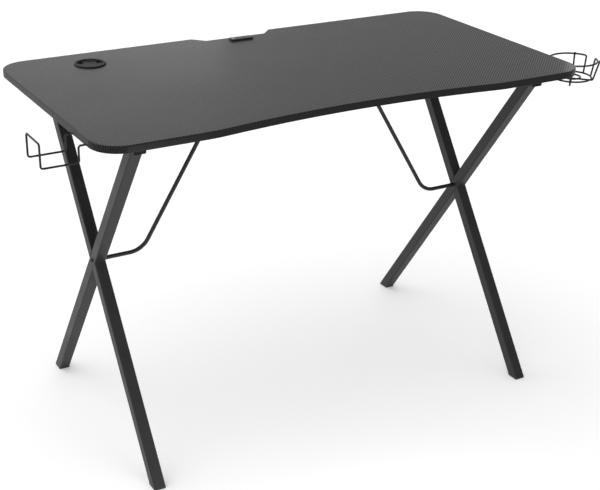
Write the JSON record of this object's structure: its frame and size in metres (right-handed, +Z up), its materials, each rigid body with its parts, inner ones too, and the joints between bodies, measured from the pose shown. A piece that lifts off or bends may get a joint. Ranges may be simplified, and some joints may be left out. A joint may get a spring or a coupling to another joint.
{
  "type": "gaming desk",
  "caption": "Gaming desk: dark film-wrapped top with a curved front on X-shaped tube frames with rod braces, a wire headset hook and cup holder, a cable grommet and a light bar.",
  "frame": {"origin": "on the floor, midway between the four feet and under the centre of the top", "axes": "+X to the sitter's right along the top, +Y away from the sitter, +Z up"},
  "size_m": [1.3258, 0.6, 0.7544],
  "materials": {
    "carbon_film_board": "particle board wrapped in a woven-look dark grey PVC film, satin",
    "frame_coat": "satin black powder coat with a fine orange-peel",
    "wire_coat": "satin black powder coat over drawn wire",
    "black_screws": "black oxide",
    "foot_plastic": "moulded polyethylene, matt",
    "grommet_plastic": "moulded ABS, fine spark texture",
    "insert_brass": "turned",
    "box_plastic": "moulded ABS, matt",
    "cover_plastic": "moulded ABS, satin dark grey",
    "circuit_board": "solder mask",
    "inlet_steel": "tinned",
    "button_plastic": "moulded ABS, satin",
    "switch_plastic": "moulded",
    "bar_aluminium": "black anodised",
    "tape_plastic": "white polyimide",
    "chip_plastic": "clear silicone over white",
    "lens_plastic": "opal diffuser"
  },
  "bodies": {
    "desk": {"left_top_rail": "frame_coat", "right_top_rail": "frame_coat", "left_long_leg": "frame_coat", "right_long_leg": "frame_coat", "left_upper_half_leg": "frame_coat", "right_upper_half_leg": "frame_coat", "left_lower_half_leg": "frame_coat", "right_lower_half_leg": "frame_coat", "left_brace_rod": "frame_coat", "right_brace_rod": "frame_coat", "left_brace_plate": "frame_coat", "right_brace_plate": "frame_coat", "headset_hook": "wire_coat", "headset_hook_plate": "wire_coat", "cup_holder_plate": "wire_coat", "cup_holder_rim": "wire_coat", "cup_holder_base_ring": "wire_coat", "cup_holder_inner_ring": "wire_coat", "cup_holder_upper_cradle": "wire_coat", "cup_holder_lower_cradle": "wire_coat", "rail_bolts": "black_screws", "brace_bolts": "black_screws", "plate_screws": "black_screws", "rail_end_caps": "foot_plastic", "left_front_glide": "foot_plastic", "left_back_glide": "foot_plastic", "right_front_glide": "foot_plastic", "right_back_glide": "foot_plastic", "top_panel": "carbon_film_board", "grommet_ring": "grommet_plastic", "rail_inserts": "insert_brass", "controller_base": "box_plastic", "controller_cover": "cover_plastic", "controller_board": "circuit_board", "controller_inlet": "inlet_steel", "button_switch": "switch_plastic", "led_channel": "bar_aluminium", "led_tape": "tape_plastic", "led_chips": "chip_plastic", "led_lens": "lens_plastic", "led_end_caps": "box_plastic"},
    "grommet_cap": {"grommet_cap": "grommet_plastic"},
    "mode_button": {"mode_button": "button_plastic"}
  },
  "joints": [
    {"name": "cap_turn", "type": "hinge", "parent": "desk", "child": "grommet_cap", "pos_m": [-0.3805, 0.212, 0.75], "axis": [0, 0, 1], "continuous": true},
    {"name": "button_press", "type": "slide", "parent": "desk", "child": "mode_button", "axis": [0, 0, -1], "range_m": [0, 0.0005], "stiffness_N_per_m": 2000}
  ]
}
